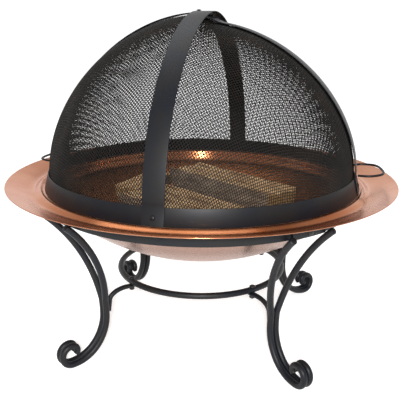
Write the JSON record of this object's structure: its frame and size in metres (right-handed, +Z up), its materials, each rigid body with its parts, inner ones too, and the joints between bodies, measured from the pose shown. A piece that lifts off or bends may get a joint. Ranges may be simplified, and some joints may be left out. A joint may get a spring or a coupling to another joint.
{
  "type": "fire pit with grate",
  "caption": "Round copper fire bowl with a wide flared brim on a scroll-footed steel stand, with a domed mesh spark screen, a log grate and split firewood.",
  "frame": {"origin": "on the ground at the stand's vertical axis", "axes": "+Z up along the bowl's axis, +X to the right and -Y to the front, with the legs on the diagonals"},
  "size_m": [0.762, 0.762, 0.649],
  "materials": {
    "copper": "spun and polished copper",
    "black_steel": "satin black heat-resistant paint",
    "mesh": "black woven wire",
    "bolts": "black-coated steel bolts and nuts",
    "grate": "bare dark iron",
    "firewood": "split firewood"
  },
  "bodies": {
    "stand": {"top_ring": "black_steel", "lower_ring": "black_steel", "leg_rod_front_right_a": "black_steel", "leg_rod_front_right_b": "black_steel", "leg_tab_front_right": "black_steel", "leg_bracket_front_right": "black_steel", "ring_bolt_front_right": "bolts", "bracket_bolt_front_right": "bolts", "bracket_nut_front_right": "bolts", "leg_rod_back_right_a": "black_steel", "leg_rod_back_right_b": "black_steel", "leg_tab_back_right": "black_steel", "leg_bracket_back_right": "black_steel", "ring_bolt_back_right": "bolts", "bracket_bolt_back_right": "bolts", "bracket_nut_back_right": "bolts", "leg_rod_back_left_a": "black_steel", "leg_rod_back_left_b": "black_steel", "leg_tab_back_left": "black_steel", "leg_bracket_back_left": "black_steel", "ring_bolt_back_left": "bolts", "bracket_bolt_back_left": "bolts", "bracket_nut_back_left": "bolts", "leg_rod_front_left_a": "black_steel", "leg_rod_front_left_b": "black_steel", "leg_tab_front_left": "black_steel", "leg_bracket_front_left": "black_steel", "ring_bolt_front_left": "bolts", "bracket_bolt_front_left": "bolts", "bracket_nut_front_left": "bolts"},
    "bowl": {"bowl": "copper"},
    "screen": {"screen_hoop": "black_steel", "mesh_dome": "mesh", "handle_strap": "black_steel", "cross_strap": "black_steel", "strap_rivet_front": "black_steel", "strap_rivet_right": "black_steel", "strap_rivet_back": "black_steel", "strap_rivet_left": "black_steel", "crown_rivet": "black_steel", "loop_handle_right": "black_steel", "loop_handle_left": "black_steel"},
    "grate": {"grate_ring": "grate", "grate_bar_1": "grate", "grate_bar_2": "grate", "grate_bar_3": "grate", "grate_bar_4": "grate", "grate_foot_1": "grate", "grate_foot_2": "grate", "grate_foot_3": "grate"},
    "logs": {"log_front": "firewood", "log_rear": "firewood", "log_side": "firewood"}
  },
  "joints": [
    {"name": "bowl_lift", "type": "slide", "parent": "stand", "child": "bowl", "axis": [0, 0, 1], "range_m": [0, 0.35]},
    {"name": "screen_lift", "type": "slide", "parent": "bowl", "child": "screen", "axis": [0, 0, 1], "range_m": [0, 0.4]},
    {"name": "grate_lift", "type": "slide", "parent": "bowl", "child": "grate", "axis": [0, 0, 1], "range_m": [0, 0.12]},
    {"name": "logs_lift", "type": "slide", "parent": "grate", "child": "logs", "axis": [0, 0, 1], "range_m": [0, 0.08]}
  ]
}
